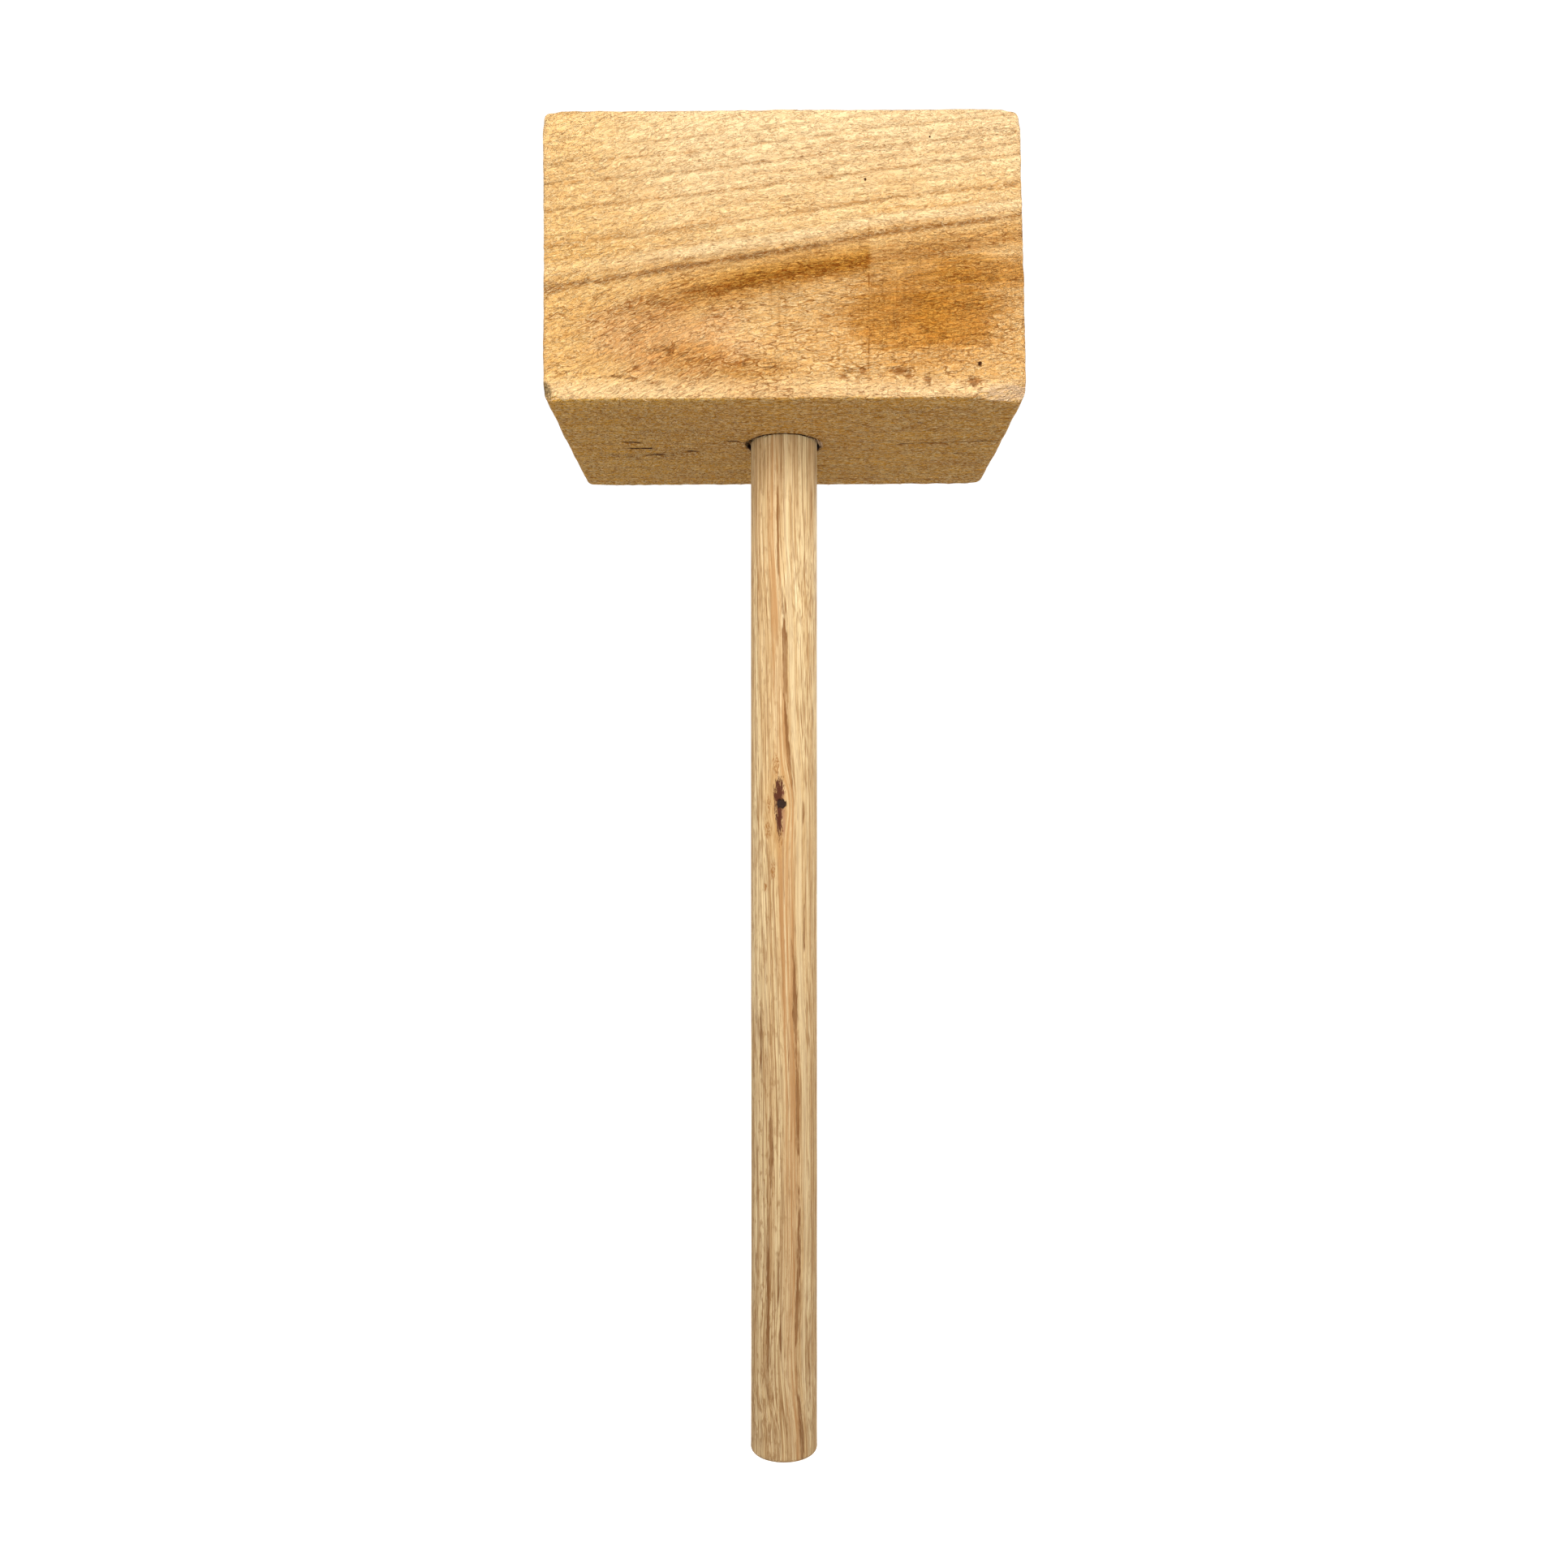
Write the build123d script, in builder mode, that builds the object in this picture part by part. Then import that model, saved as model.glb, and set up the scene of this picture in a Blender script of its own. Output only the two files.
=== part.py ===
"""Wooden mallet: a sawn block for a head, on a round handle that is wedged through it.

Millimetres. The origin is the centre of the handle's butt end. +Z runs up the handle to the
head, +X runs along the head from one striking face to the other, and +Y is the head's depth.
"""

import os

from build123d import *

os.makedirs("parts", exist_ok=True)

# Head
head_length = 200.0  # from one striking face to the other
head_depth = 120.0
head_height = 120.0  # along the handle
corner_round = 3.0  # the worn edges between a striking face and the top or the underside
side_round = 1.0  # the crisper sawn edges round the front and the back

# Handle
handle_diameter = 31.0
reach = 468.0  # from the butt end to the head's underside
butt_round = 2.5

# The joint between them: the tenon is split by a saw cut, and a wedge driven in from the top
# spreads its two halves until they fill the flare of the socket.
tenon_diameter = 30.0
flare_depth = 50.0  # below the head's top
kerf_depth = 75.0  # below the head's top
kerf_width = 1.6
wedge_length = 58.0
wedge_inset = 1.5  # from the tenon's front and back to the wedge's two edges
wedge_thickness = 6.0  # at the head's top
socket_clearance = 0.05  # all round the tenon
wedge_clearance = 0.05  # on each side of the wedge

underside = reach
head_top = underside + head_height
flare_start = head_top - flare_depth
kerf_bottom = head_top - kerf_depth
wedge_tip = head_top - wedge_length
tenon_radius = tenon_diameter / 2
tenon_spread = (wedge_thickness - kerf_width) / 2
wedge_width = tenon_diameter - 2 * wedge_inset


def tenon_shape(gap):
    """The tenon, larger by a gap: round below, and spread along X in the flare."""
    with BuildPart() as shape:
        with BuildSketch(Plane.XY.offset(underside)):
            Circle(tenon_radius + gap)
        extrude(amount=flare_start - underside)
        with BuildSketch(Plane.XY.offset(flare_start)):
            Circle(tenon_radius + gap)
        with BuildSketch(Plane.XY.offset(head_top)):
            Ellipse(tenon_radius + tenon_spread + gap, tenon_radius + gap)
        loft()
    return shape.part


socket = tenon_shape(socket_clearance)
tenon = tenon_shape(0)

# A block of sawn timber with the socket straight through it
with BuildPart() as head:
    with Locations((0, 0, underside)):
        Box(head_length, head_depth, head_height, align=(Align.CENTER, Align.CENTER, Align.MIN))
    fillet(head.edges().filter_by(Axis.Y), radius=corner_round)
    front = head.faces().sort_by(Axis.Y)[0]
    back = head.faces().sort_by(Axis.Y)[-1]
    fillet(front.edges() + back.edges(), radius=side_round)
    add(socket, mode=Mode.SUBTRACT)
head.part.label = "head"
export_step(head.part, "parts/head.step")

# A round stick with a shoulder under the head, and a split tenon that fills the socket
with BuildPart() as handle:
    with BuildSketch():
        Circle(handle_diameter / 2)
    extrude(amount=reach)
    fillet(handle.edges().sort_by(Axis.Z)[0], radius=butt_round)
    add(tenon)
    with BuildSketch(Plane.XZ) as kerf:
        with BuildLine():
            kerf_top_half = wedge_thickness / 2 + wedge_clearance
            Polyline(
                (-kerf_width / 2, kerf_bottom),
                (kerf_width / 2, kerf_bottom),
                (kerf_width / 2, wedge_tip),
                (kerf_top_half, head_top),
                (-kerf_top_half, head_top),
                (-kerf_width / 2, wedge_tip),
                close=True,
            )
        make_face()
    extrude(amount=handle_diameter, both=True, mode=Mode.SUBTRACT)
handle.part.label = "handle"
export_step(handle.part, "parts/handle.step")

# The wedge, flush with the head's top
with BuildPart() as wedge:
    with BuildSketch(Plane.XZ):
        with BuildLine():
            tip_half = kerf_width / 2 - wedge_clearance
            Polyline(
                (-tip_half, wedge_tip),
                (tip_half, wedge_tip),
                (wedge_thickness / 2, head_top),
                (-wedge_thickness / 2, head_top),
                close=True,
            )
        make_face()
    extrude(amount=wedge_width / 2, both=True)
wedge.part.label = "wedge"
export_step(wedge.part, "parts/wedge.step")
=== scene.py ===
"""The looks of the wooden mallet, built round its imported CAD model.

Lengths are millimetres in the part's own frame until MM turns them into Blender's metres. The grain
runs along X in the head and along Z in the handle and the wedge.
"""

import itertools
import math

import bpy
import numpy as np
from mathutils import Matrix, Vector


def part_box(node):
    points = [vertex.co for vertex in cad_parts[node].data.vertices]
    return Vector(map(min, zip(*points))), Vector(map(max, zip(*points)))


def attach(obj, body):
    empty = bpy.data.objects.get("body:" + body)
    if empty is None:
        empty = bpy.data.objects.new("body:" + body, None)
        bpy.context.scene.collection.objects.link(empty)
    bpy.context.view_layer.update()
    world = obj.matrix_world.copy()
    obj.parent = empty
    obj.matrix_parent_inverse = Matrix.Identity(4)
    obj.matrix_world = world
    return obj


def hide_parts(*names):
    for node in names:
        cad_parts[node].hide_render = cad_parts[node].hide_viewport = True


MM = 0.001

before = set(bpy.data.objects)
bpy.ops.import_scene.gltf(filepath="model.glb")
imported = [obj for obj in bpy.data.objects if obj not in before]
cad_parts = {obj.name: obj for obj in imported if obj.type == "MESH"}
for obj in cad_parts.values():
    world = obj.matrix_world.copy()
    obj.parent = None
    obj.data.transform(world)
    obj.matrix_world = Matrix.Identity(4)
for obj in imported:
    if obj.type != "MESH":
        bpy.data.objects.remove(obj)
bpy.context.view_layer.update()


def node_box(node):
    """The lowest and highest corners of a CAD node, in millimetres."""
    low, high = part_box(node)
    return np.array(low) / MM, np.array(high) / MM


HEAD_LOW, HEAD_HIGH = node_box("head")
HANDLE_HIGH = node_box("handle")[1]
WEDGE_LOW, WEDGE_HIGH = node_box("wedge")
HEAD_CENTRE = (HEAD_LOW + HEAD_HIGH) / 2
HEAD_HALF = (HEAD_HIGH - HEAD_LOW) / 2
UNDERSIDE = HEAD_LOW[2]
TOP = HEAD_HIGH[2]
FRONT = HEAD_LOW[1]
HANDLE_RADIUS = HANDLE_HIGH[1]
TENON_RADIUS = 15  # before the wedge spreads it
TENON_SPREAD_RADIUS = HANDLE_HIGH[0]
FLARE_START = TOP - 50  # where the tenon and its socket begin to widen
LEFT_GRAIN = (-110, -10)  # from where to where along X the grain rises faster
TORN_GRAIN = (UNDERSIDE + 75, UNDERSIDE + 25)  # and from where to where downwards its extra rise comes in


def front_place(across, above_underside):
    """A place on the head's front."""
    return across, FRONT, UNDERSIDE + above_underside


def flare(height):
    """How much wider along X the tenon and its socket are than below the flare."""
    share = np.clip((height - FLARE_START) / (TOP - FLARE_START), 0, 1)
    return (TENON_SPREAD_RADIUS - TENON_RADIUS) * share


# ---------- Numbers on arrays of points ----------


def smooth(low, high, value):
    """From 0 at low to 1 at high, with soft ends."""
    t = np.clip((value - low) / (high - low), 0, 1)
    return t * t * (3 - 2 * t)


def corner_value(cell, seed):
    """A fixed number from -1 to 1 for each whole-number point."""
    mixed = cell[:, 0] * 73856093 ^ cell[:, 1] * 19349663 ^ cell[:, 2] * 83492791 ^ seed * 49979687
    mixed = (mixed ^ (mixed >> 13)) * 1274126177 & 0x7FFFFFFF
    mixed = (mixed ^ (mixed >> 16)) & 0xFFFF
    return mixed / 32767.5 - 1


def lumps(points, size, seed):
    """Smooth noise from -1 to 1. size is how far apart its lumps are: one length, or one for each axis."""
    scaled = points / np.asarray(size, float)
    cell = np.floor(scaled).astype(np.int64)
    along = scaled - cell
    along = along * along * (3 - 2 * along)
    total = np.zeros(len(points))
    for corner in itertools.product((0, 1), repeat=3):
        weight = np.prod(np.where(np.array(corner) == 1, along, 1 - along), axis=1)
        total += weight * corner_value(cell + corner, seed)
    return total


def rough(points, size, seed, octaves=3):
    """Noise with finer and finer lumps on it."""
    size = np.asarray(size, float)
    layers = [lumps(points, size / 2**i, seed + i) / 2**i for i in range(octaves)]
    return sum(layers) / sum(1 / 2**i for i in range(octaves))


def in_blob(points, centre, radii):
    """1 at a blob's centre, falling to 0 at its edge."""
    away = np.linalg.norm((points - np.asarray(centre)) / np.asarray(radii), axis=1)
    return 1 - smooth(0.3, 1, away)


def near_line(points, start, end, reach):
    """1 along the line between two places, falling to 0 at reach mm from it."""
    start, end = np.asarray(start, float), np.asarray(end, float)
    along = end - start
    share = ((points - start) @ along / max(along @ along, 1e-9)).clip(0, 1)
    away = np.linalg.norm(points - start - share[:, None] * along, axis=1)
    return 1 - smooth(0.2, 1, away / reach)


# ---------- Meshes ----------


def spaced(low, high, step, edge=4, fine=0.7):
    """Positions from low to high, closer together near both ends, where the edges are rounded."""
    inner = np.linspace(low + edge, high - edge, round((high - low - 2 * edge) / step) + 1)
    near = np.linspace(0, edge, round(edge / fine) + 1)[:-1]
    return np.concatenate((low + near, inner, (high - near)[::-1]))


def block_surface(xs, ys, zs):
    """The points and quads of a closed box, cut at these positions."""
    counts = np.array([len(xs), len(ys), len(zs)])
    i, j, k = np.meshgrid(*(np.arange(n) for n in counts), indexing="ij")
    outside = (i % (counts[0] - 1) == 0) | (j % (counts[1] - 1) == 0) | (k % (counts[2] - 1) == 0)
    index = np.full(counts, -1)
    index[outside] = np.arange(outside.sum())
    points = np.stack((xs[i[outside]], ys[j[outside]], zs[k[outside]]), axis=1)
    quads = []
    for axis, end in itertools.product(range(3), (0, -1)):
        side = np.take(index, end, axis=axis)
        around = (side[:-1, :-1], side[1:, :-1], side[1:, 1:], side[:-1, 1:])
        side_quads = np.stack(around, axis=-1).reshape(-1, 4)
        facing_in = (end == 0) != (axis == 1)
        quads += (side_quads[:, ::-1] if facing_in else side_quads).tolist()
    return points, quads


def turned_surface(heights, count, radius_at):
    """A closed round stick. heights and the radii that radius_at gives for each make its outline."""
    turn = np.linspace(0, 2 * np.pi, count, endpoint=False)
    rings = []
    for step, height in enumerate(heights):
        radius_x, radius_y = radius_at(step, height, turn)
        rings.append(np.stack((radius_x * np.cos(turn), radius_y * np.sin(turn), height + 0 * turn), axis=1))
    ends = [[0, 0, heights[0]], [0, 0, heights[-1]]]
    points = np.concatenate((*rings, ends))
    first_end, last_end = len(points) - 2, len(points) - 1
    here = np.arange(count)
    after = (here + 1) % count
    faces = []
    for ring in range(len(heights) - 1):
        below, above = ring * count, (ring + 1) * count
        faces += np.stack((below + here, below + after, above + after, above + here), axis=1).tolist()
    last_ring = (len(heights) - 1) * count
    faces += np.stack((np.full(count, first_end), after, here), axis=1).tolist()
    faces += np.stack((np.full(count, last_end), last_ring + here, last_ring + after), axis=1).tolist()
    return points, faces


def make_piece(name, points, faces):
    """A Blender object from millimetre points."""
    mesh = bpy.data.meshes.new(name)
    mesh.from_pydata((np.asarray(points) * MM).tolist(), [], faces)
    mesh.update()
    piece = bpy.data.objects.new(name, mesh)
    bpy.context.scene.collection.objects.link(piece)
    return piece


def cut(piece, cutter):
    """Takes the cutter's shape out of the piece, and removes the cutter."""
    modifier = piece.modifiers.new("cut", "BOOLEAN")
    modifier.object = cutter
    modifier.operation = "DIFFERENCE"
    modifier.solver = "EXACT"
    depsgraph = bpy.context.evaluated_depsgraph_get()
    result = bpy.data.meshes.new_from_object(piece.evaluated_get(depsgraph))
    piece.modifiers.clear()
    piece.data = result
    result.name = piece.name
    bpy.data.objects.remove(cutter)


def piece_points(piece):
    """A piece's vertices, in millimetres."""
    flat = np.empty(len(piece.data.vertices) * 3)
    piece.data.vertices.foreach_get("co", flat)
    return flat.reshape(-1, 3) / MM


def write_field(piece, name, values):
    """Stores a number, or a place in millimetres, for each vertex, where the material reads it."""
    values = np.asarray(values, np.float32)
    kind, key = ("FLOAT", "value") if values.ndim == 1 else ("FLOAT_VECTOR", "vector")
    attribute = piece.data.attributes.new(name, kind, "POINT")
    attribute.data.foreach_set(key, values.ravel())


def finish_piece(piece, material, slot, *replaced):
    """Smooths a piece's shading, paints it, and ties it to the frame."""
    piece.data.polygons.foreach_set("use_smooth", [True] * len(piece.data.polygons))
    piece.data.set_sharp_from_angle(angle=math.radians(50))
    piece.data.materials.clear()
    piece.data.materials.append(material)
    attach(piece, "root")
    if replaced:
        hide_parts(*replaced)


# ---------- The head's wood: rings round a pith that lies inside the block, behind its middle ----------

PITH_Y = 25
PITH_ABOVE_UNDERSIDE = 25.3  # at the middle of the head
PITH_RISE = 0.04  # per mm along X
RING_TAPER = 0.047  # the rings open out towards +X
DARK_RING = 89.1  # the ring radius of the dark streak across the front
TORN_RING = 92.9  # the ring radius of the torn grey line above it
LATE_RINGS = [
    # ring radius, how dark, half width
    (TORN_RING, 1, 0.8),
    (96.6, 0.4, 0.5),
    (100, 0.85, 0.7),
    (104, 0.4, 0.5),
    (107.4, 0.9, 0.8),
    (110.4, 0.4, 0.5),
    (113.6, 0.8, 0.8),
    (119, 0.7, 0.8),
    (123.2, 0.5, 0.6),
]


def from_pith(points):
    """How far each point of the head is from the pith, along Y and along Z."""
    x, y, z = points.T
    return y - PITH_Y, z - (UNDERSIDE + PITH_ABOVE_UNDERSIDE + PITH_RISE * x)


def ring_radius(points):
    """Which growth ring each point of the head lies in."""
    wander = 0.7 * lumps(points, (45, 30, 30), seed=11)
    return np.hypot(*from_pith(points)) - RING_TAPER * points[:, 0] + wander


# ---------- Head ----------

FRONT_MARKS = [
    # torn places and brown specks on the front: x and mm above the underside of each end, reach, depth
    ((-95, 11), (-72, 9), 0.5, 0.8),
    ((-72, 9), (-50, 5), 0.6, 1),
    ((-50, 5), (-29, 5.5), 1.4, 0.6),
    ((-56, 20), (-50, 20.5), 2.2, 0.9),
    ((-48, 19), (-30, 14.5), 3.2, 0.8),
    ((-30, 14.5), (-4, 12.5), 3.6, 0.6),
    ((-36, 8.5), (-27, 9.5), 2, 0.7),
    ((-80, 34), (-66, 37), 3.2, 0.5),
    ((-66, 37), (-50, 40), 3.6, 0.6),
    ((-66, 23), (-60, 29), 1.4, 0.7),
    ((26, 11), (34, 11.5), 2.6, 0.8),
    ((27, 8), (34, 7.5), 2.4, 0.7),
    ((45, 11.5), (53, 10.8), 1.5, 0.9),
    ((53, 10), (54, 6.5), 1.7, 0.8),
    ((60, 9), (61, 6), 1.9, 0.8),
    ((79, 7), (80, 6), 3, 0.8),
    ((88, 16), (94, 21), 1.6, 0.6),
    ((58, 28), (72, 24), 3.4, 0.5),
    ((57, 41), (80, 38), 4, 0.5),
    ((60, 46), (86, 52), 4, 0.45),
]
STAINS = [
    # across, above the underside, half length, half height, how strong
    (60, 37, 46, 30, 0.5),
    (50, 33, 26, 19, 0.35),
    (71, 35, 22, 17, 0.42),
    (84, 52, 38, 9, 0.55),
    (-38, 18, 20, 7, 0.3),
    (-12, 12, 24, 6, 0.3),
]
BROWN_SPOTS = [
    # across, above the underside, half width
    (33, 11, 1.6),
    (48.5, 11, 2.6),
    (52.5, 9, 1.8),
    (60, 7.5, 1.9),
    (80, 6.5, 3.2),
    (25, 8.5, 2.2),
    (-62, 12, 1.8),
]
PINHOLES = [
    # across, above the underside, radius
    (34, 91, 0.9),
    (82, 14, 1.5),
    (61, 109, 0.7),
]
UNDERSIDE_MARKS = [
    # torn places under the head: x and y of each end, reach, depth
    ((-74, -6), (-66, -5), 1.6, 1.3),
    ((-72, 3), (-62, 3), 1.9, 1.3),
    ((-66, 13), (-58, 12), 2.2, 1.2),
    ((-60, 14), (-44, 9), 6, 0.7),
    ((-82, 12), (-70, 14), 4, 0.7),
    ((-46, 7), (-41, 8), 1.4, 1.3),
    ((-27, -7), (-21, -6), 1.4, 1.3),
    ((-62, -20), (-36, -20), 5, 0.6),
    ((53, -2), (101, -6), 0.8, 1.2),
    ((74, 10), (92, 14), 3.2, 0.7),
    ((24, 18), (40, 19), 2.6, 0.7),
    ((40, -38), (41, -38), 1.2, 1),
    ((60, -30), (62, -30), 1.2, 1),
]
DRYING_CHECKS = [
    # bearing in degrees, where it starts and ends, depth
    (-170, 6, 62, 1.1),
    (-118, 3, 24, 0.7),
    (62, 4, 58, 0.9),
    (118, 12, 70, 0.8),
]

OVERSIZE = 0.7  # how far the sawn faces stand outside the drawn block
CORNER_ROUND = 3
SIDE_ROUND = 1.1
HEAD_STEP_ALONG = 1.55
HEAD_STEP_ACROSS = 1.05
HEAD_TILT = 0.0055  # the right end sits higher
LEFT_END = 0.4  # how far out the left end is
RIGHT_END = -0.4  # the same for the right end
RIGHT_END_LEAN = -0.024  # how much further out it is per mm of height
SAW_STEP_X = 35.5  # where the saw stopped and started again on the front
GRAIN_SLOPE = 0.1  # how much the grain rises along X
LEFT_GRAIN_RISE = 13  # how much more it rises over the left half
TORN_GRAIN_RISE = 12  # and how much more again at the bottom there, where the fibres are torn
BEVEL_CORNERS = [(80, 0, 0), (100, 0, 5.5), (100, 5, 0)]  # from the front, bottom edge's own level
CHIP_CORNERS = [(-94, 0, 0), (-100, 3, 0), (-100, 0, 6)]


def cut_corner(points, corners, roughness, seed):
    """Flattens a corner of the head onto a rough plane through three places near it."""
    a, b, c = (np.array(corner) + (0, FRONT, UNDERSIDE) for corner in corners)
    normal = np.cross(b - a, c - a)
    normal /= np.linalg.norm(normal)
    if normal[2] > 0:
        normal = -normal
    beyond = (points - a) @ normal + roughness * rough(points, 1.8, seed)
    return points - np.outer(np.maximum(beyond, 0), normal)


def grain_level(points):
    """Height measured along the grain, which rises towards +X, and faster over the left half."""
    x, y, z = points.T
    left = smooth(*LEFT_GRAIN, x)
    torn = smooth(*TORN_GRAIN, z)
    return z - GRAIN_SLOPE * x - (LEFT_GRAIN_RISE + TORN_GRAIN_RISE * torn) * left


def head_marks(points):
    """How deep the single tears and specks go: 0 to 1, and up to 1.5 round the socket."""
    marks = np.zeros(len(points))
    for (x0, up0), (x1, up1), reach, depth in FRONT_MARKS:
        start, end = front_place(x0, up0), front_place(x1, up1)
        marks = np.maximum(marks, depth * near_line(points, start, end, reach + 0.8))
    for (x0, y0), (x1, y1), reach, depth in UNDERSIDE_MARKS:
        start, end = (x0, y0, UNDERSIDE), (x1, y1, UNDERSIDE)
        marks = np.maximum(marks, depth * near_line(points, start, end, reach + 0.8))
    from_rim = np.hypot(np.hypot(points[:, 0], points[:, 1]) - HANDLE_RADIUS - 0.8, points[:, 2] - UNDERSIDE)
    return np.maximum(marks, 1.5 * (1 - smooth(0.4, 2.8, from_rim)))


def head_relief(points, normal):
    """How far the sawn surface stands proud, in mm, at points of the plain block."""
    x, y, z = points.T
    on_end = smooth(0.6, 0.9, np.abs(normal[:, 0]))
    on_front = smooth(0.6, 0.9, -normal[:, 1])
    ring = ring_radius(points)

    unevenness = 0.25 * lumps(points, 48, seed=21)
    along_grain = np.stack((x, y, grain_level(points)), axis=1)
    tears = rough(along_grain, (4.4, 1.7, 1.7), seed=22)
    torn_share = 0.45 + 0.55 * smooth(-0.3, 0.5, lumps(points, (30, 16, 16), seed=23))
    saw_places = np.stack((x + 0.6 * lumps(points, 25, seed=24), 0 * x, 0 * x), axis=1)
    saw_marks = 0.06 * lumps(saw_places, (3.1, 1, 1), seed=25)
    past_step = x - SAW_STEP_X
    saw_step = -0.18 * on_front * smooth(-0.8, 0.8, past_step) * (1 - smooth(10, 45, past_step))

    groove = np.zeros(len(points))
    for radius, darkness, width in LATE_RINGS:
        groove += darkness * np.exp(-((ring - radius) / (width + 0.4)) ** 2)
    groove *= 0.3 + 0.7 * smooth(-0.2, 0.5, lumps(points, (7, 3, 3), seed=27))
    dark = np.exp(-(((ring - DARK_RING) / 1.4) ** 2))
    dark *= 0.4 + 0.6 * smooth(-0.2, 0.4, lumps(points, (6, 3, 3), seed=28))

    torn_share *= 0.3 + 0.7 * smooth(1, 7, HEAD_HALF[0] - np.abs(x))
    sides = unevenness + 0.42 * torn_share * tears + saw_marks + saw_step
    sides += OVERSIZE - 0.36 * groove - 0.3 * dark - 0.3 * head_marks(points)

    kerf_lines = np.stack((0 * x, y * 0.35 + z, 0 * x), axis=1)
    end_saw = 0.1 * lumps(kerf_lines, (1, 2.4, 1), seed=31) + 0.05 * lumps(kerf_lines, (1, 1.3, 1), seed=32)
    end_grain = 0.1 * rough(points, (6, 1.6, 1.6), seed=33)
    ends = OVERSIZE + unevenness + end_saw + end_grain - drying_checks(points)
    return sides * (1 - on_end) + ends * on_end


def drying_checks(points):
    """How deep the fine cracks are that run out from the pith across the end grain."""
    out_y, out_z = from_pith(points)
    radius = np.hypot(out_y, out_z)
    side = np.where(points[:, 0] > 0, 1, -1)
    depth = np.zeros(len(points))
    for bearing, start, end, deep in DRYING_CHECKS:
        angle = math.radians(bearing) + 0.22 * side
        along = out_y * np.cos(angle) + out_z * np.sin(angle)
        across = -out_y * np.sin(angle) + out_z * np.cos(angle)
        across += 0.9 * lumps(np.stack((radius, 0 * radius, 0 * radius), axis=1), 9, seed=start + 40)
        tapered = smooth(start - 3, start + 6, along) * (1 - smooth(end - 16, end, along))
        depth += deep * tapered * (1 - smooth(0.2, 0.9, np.abs(across)))
    return depth


def socket_cutter():
    """The hole through the head: torn open at the underside, and widened for the wedge at the top."""
    below = UNDERSIDE + np.array([-12, -2, -0.6, 0, 0.6, 1.2, 2, 3, 4])
    middle = np.linspace(UNDERSIDE + 8, FLARE_START, 5)
    widening = np.linspace(FLARE_START + 10, TOP - 3, 5)
    above = TOP + np.array([-2, -1.2, -0.5, 0, 0.6, 8])

    def radius_at(step, height, turn):
        where = np.stack((8 * np.cos(turn), 8 * np.sin(turn), 0 * turn), axis=1)
        ragged = 0.3 * rough(where, 1.6, seed=51) + 0.25 * lumps(where, 0.5, seed=52)
        left = np.exp(-(((turn - math.radians(196)) / 0.3) ** 2))
        right = np.exp(-(((turn - math.radians(344)) / 0.26) ** 2))
        chips = 3.6 * left * (1 + 0.5 * lumps(where, 0.9, seed=53))
        chips += 1.5 * right * (1 + 0.6 * lumps(where, 0.8, seed=54))
        at_rim = 1 - smooth(0.4, 3.6, height - UNDERSIDE)
        at_top = smooth(-2.4, 0, height - TOP)
        loose = 0.12 + at_rim * (0.45 + np.maximum(ragged, -0.2) + chips)
        loose += at_top * (0.2 + 0.5 * np.maximum(ragged, 0))
        shoulder = 1 - smooth(3.2, 4.2, height - UNDERSIDE)
        round_radius = HANDLE_RADIUS - 0.5 * (1 - shoulder)
        return round_radius + flare(height) + loose, round_radius + loose

    heights = np.concatenate((below, middle, widening, above))
    points, faces = turned_surface(heights, 220, radius_at)
    return make_piece("cutter", points, faces)


def head_fields(piece, pale=0):
    """Gives a piece of the head's wood the fields that its material reads."""
    places = piece_points(piece)
    write_field(piece, "ring", ring_radius(places))
    write_field(piece, "marks", head_marks(places))
    corner = in_blob(places, (-101.5, FRONT - 1, UNDERSIDE + 1.5), (6, 6, 8))
    bevel = in_blob(places, (98, FRONT + 1, UNDERSIDE + 2), (24, 7, 6))
    write_field(piece, "weathered", np.maximum(np.maximum(corner, 0.8 * bevel), pale))
    return piece


def make_head():
    xs = spaced(-HEAD_HALF[0], HEAD_HALF[0], HEAD_STEP_ALONG)
    ys = spaced(-HEAD_HALF[1], HEAD_HALF[1], HEAD_STEP_ACROSS)
    zs = spaced(-HEAD_HALF[2], HEAD_HALF[2], HEAD_STEP_ACROSS)
    flat, quads = block_surface(xs, ys, zs)

    # Round the edges: points near one are pulled onto a ball that rolls along inside it.
    from_edge = np.maximum(HEAD_HALF[0] - np.abs(flat[:, 0]), HEAD_HALF[2] - np.abs(flat[:, 2]))
    at_corner = 1 - smooth(CORNER_ROUND, CORNER_ROUND + 5, from_edge)
    radius = SIDE_ROUND + (CORNER_ROUND - SIDE_ROUND) * at_corner
    radius = radius * (1 + 0.25 * lumps(flat, 14, seed=12) + 0.1 * lumps(flat, 5, seed=13))
    inside = np.clip(flat, -(HEAD_HALF - radius[:, None]), HEAD_HALF - radius[:, None])
    outward = flat - inside
    normal = outward / np.linalg.norm(outward, axis=1)[:, None]
    points = inside + normal * radius[:, None] + HEAD_CENTRE

    points = points + normal * head_relief(points, normal)[:, None]
    points = cut_corner(points, BEVEL_CORNERS, roughness=0.35, seed=14)
    points = cut_corner(points, CHIP_CORNERS, roughness=1.1, seed=15)

    share = points[:, 0] / HEAD_HALF[0]
    above_middle = points[:, 2] - HEAD_CENTRE[2]
    left = LEFT_END * share.clip(-1, 0)
    right = (RIGHT_END + RIGHT_END_LEAN * above_middle) * share.clip(0, 1)
    points = points + np.stack((left + right, 0 * left, HEAD_TILT * points[:, 0]), axis=1)

    head = make_piece("mallet_head", points, quads)
    cut(head, socket_cutter())
    return head_fields(head)


# ---------- Loose fibres on the sawn faces, and splinters round the socket ----------


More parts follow.
